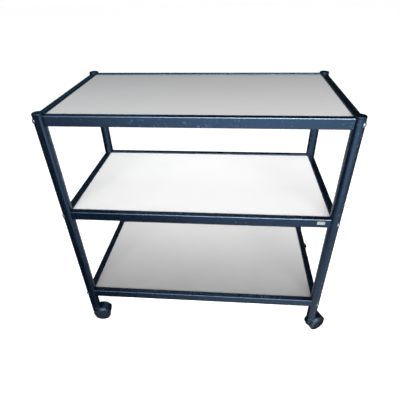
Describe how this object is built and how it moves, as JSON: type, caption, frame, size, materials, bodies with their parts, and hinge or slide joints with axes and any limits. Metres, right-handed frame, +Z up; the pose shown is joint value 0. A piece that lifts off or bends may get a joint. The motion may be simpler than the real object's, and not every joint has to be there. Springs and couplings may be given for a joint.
{
  "type": "serving trolley",
  "caption": "Tiered serving trolley with a dark round-tube frame, pale glass shelves recessed in rectangular rails, and hooded swivel casters.",
  "frame": {"origin": "on the floor, under the middle of the trolley", "axes": "+X to the right along the long side, +Y to the rear, +Z up"},
  "size_m": [0.774, 0.3951, 0.6885],
  "materials": {
    "frame_paint": "semi-gloss black powder coat with a blue cast",
    "hidden_paint": "satin black powder coat",
    "black_plastic": "satin moulded plastic",
    "shelf_glass": "opaque, back-painted pale grey, smooth",
    "seal_rubber": "matt black",
    "zinc": "zinc plated, satin",
    "steel": "bright drawn",
    "caster_plastic": "semi-gloss moulded nylon",
    "wheel_plastic": "semi-gloss moulded nylon, worn tread",
    "plate_metal": "satin"
  },
  "bodies": {
    "frame": {"leg_front_left": "frame_paint", "leg_front_right": "frame_paint", "leg_rear_left": "frame_paint", "leg_rear_right": "frame_paint", "leg_cap_front_left": "black_plastic", "leg_cap_front_right": "black_plastic", "leg_cap_rear_left": "black_plastic", "leg_cap_rear_right": "black_plastic", "rail_top_front": "frame_paint", "rail_top_rear": "frame_paint", "rail_top_left": "frame_paint", "rail_top_right": "frame_paint", "rail_middle_front": "frame_paint", "rail_middle_rear": "frame_paint", "rail_middle_left": "frame_paint", "rail_middle_right": "frame_paint", "rail_bottom_front": "frame_paint", "rail_bottom_rear": "frame_paint", "rail_bottom_left": "frame_paint", "rail_bottom_right": "frame_paint", "shelf_panel_top": "shelf_glass", "shelf_panel_middle": "shelf_glass", "shelf_panel_bottom": "shelf_glass", "panel_seal_top": "seal_rubber", "panel_seal_middle": "seal_rubber", "panel_seal_bottom": "seal_rubber", "shelf_ledges_top": "hidden_paint", "shelf_ledges_middle": "hidden_paint", "shelf_ledges_bottom": "hidden_paint", "corner_brackets_top": "hidden_paint", "corner_brackets_middle": "hidden_paint", "corner_brackets_bottom": "hidden_paint", "corner_bolts_top": "zinc", "corner_bolts_middle": "zinc", "corner_bolts_bottom": "zinc", "blank_plate": "plate_metal", "caster_socket_front_left": "black_plastic", "caster_socket_front_right": "black_plastic", "caster_socket_rear_left": "black_plastic", "caster_socket_rear_right": "black_plastic", "caster_stem_front_left": "steel", "caster_stem_front_right": "steel", "caster_stem_rear_left": "steel", "caster_stem_rear_right": "steel"},
    "swivel_front_left": {"caster_housing_front_left": "caster_plastic", "caster_axle_front_left": "steel"},
    "swivel_front_right": {"caster_housing_front_right": "caster_plastic", "caster_axle_front_right": "steel"},
    "swivel_rear_left": {"caster_housing_rear_left": "caster_plastic", "caster_axle_rear_left": "steel"},
    "swivel_rear_right": {"caster_housing_rear_right": "caster_plastic", "caster_axle_rear_right": "steel"},
    "roller_one_front_left": {"wheel_one_front_left": "wheel_plastic"},
    "roller_two_front_left": {"wheel_two_front_left": "wheel_plastic"},
    "roller_one_front_right": {"wheel_one_front_right": "wheel_plastic"},
    "roller_two_front_right": {"wheel_two_front_right": "wheel_plastic"},
    "roller_one_rear_left": {"wheel_one_rear_left": "wheel_plastic"},
    "roller_two_rear_left": {"wheel_two_rear_left": "wheel_plastic"},
    "roller_one_rear_right": {"wheel_one_rear_right": "wheel_plastic"},
    "roller_two_rear_right": {"wheel_two_rear_right": "wheel_plastic"}
  },
  "joints": [
    {"name": "swivel_front_left_turn", "type": "hinge", "parent": "frame", "child": "swivel_front_left", "pos_m": [-0.341, -0.18, 0.04], "axis": [0, 0, 1], "continuous": true},
    {"name": "swivel_front_right_turn", "type": "hinge", "parent": "frame", "child": "swivel_front_right", "pos_m": [0.341, -0.18, 0.04], "axis": [0, 0, 1], "continuous": true},
    {"name": "swivel_rear_left_turn", "type": "hinge", "parent": "frame", "child": "swivel_rear_left", "pos_m": [-0.341, 0.18, 0.04], "axis": [0, 0, 1], "continuous": true},
    {"name": "swivel_rear_right_turn", "type": "hinge", "parent": "frame", "child": "swivel_rear_right", "pos_m": [0.341, 0.18, 0.04], "axis": [0, 0, 1], "continuous": true},
    {"name": "roller_one_front_left_turn", "type": "hinge", "parent": "swivel_front_left", "child": "roller_one_front_left", "pos_m": [-0.32377, -0.17696, 0.025], "axis": [-0.1736, 0.9848, 0], "continuous": true},
    {"name": "roller_two_front_left_turn", "type": "hinge", "parent": "swivel_front_left", "child": "roller_two_front_left", "pos_m": [-0.32377, -0.17696, 0.025], "axis": [-0.1736, 0.9848, 0], "continuous": true},
    {"name": "roller_one_front_right_turn", "type": "hinge", "parent": "swivel_front_right", "child": "roller_one_front_right", "pos_m": [0.35659, -0.17206, 0.025], "axis": [-0.454, 0.891, 0], "continuous": true},
    {"name": "roller_two_front_right_turn", "type": "hinge", "parent": "swivel_front_right", "child": "roller_two_front_right", "pos_m": [0.35659, -0.17206, 0.025], "axis": [-0.454, 0.891, 0], "continuous": true},
    {"name": "roller_one_rear_left_turn", "type": "hinge", "parent": "swivel_rear_left", "child": "roller_one_rear_left", "pos_m": [-0.35659, 0.17206, 0.025], "axis": [0.454, -0.891, 0], "continuous": true},
    {"name": "roller_two_rear_left_turn", "type": "hinge", "parent": "swivel_rear_left", "child": "roller_two_rear_left", "pos_m": [-0.35659, 0.17206, 0.025], "axis": [0.454, -0.891, 0], "continuous": true},
    {"name": "roller_one_rear_right_turn", "type": "hinge", "parent": "swivel_rear_right", "child": "roller_one_rear_right", "pos_m": [0.35659, 0.17206, 0.025], "axis": [0.454, 0.891, 0], "continuous": true},
    {"name": "roller_two_rear_right_turn", "type": "hinge", "parent": "swivel_rear_right", "child": "roller_two_rear_right", "pos_m": [0.35659, 0.17206, 0.025], "axis": [0.454, 0.891, 0], "continuous": true}
  ]
}
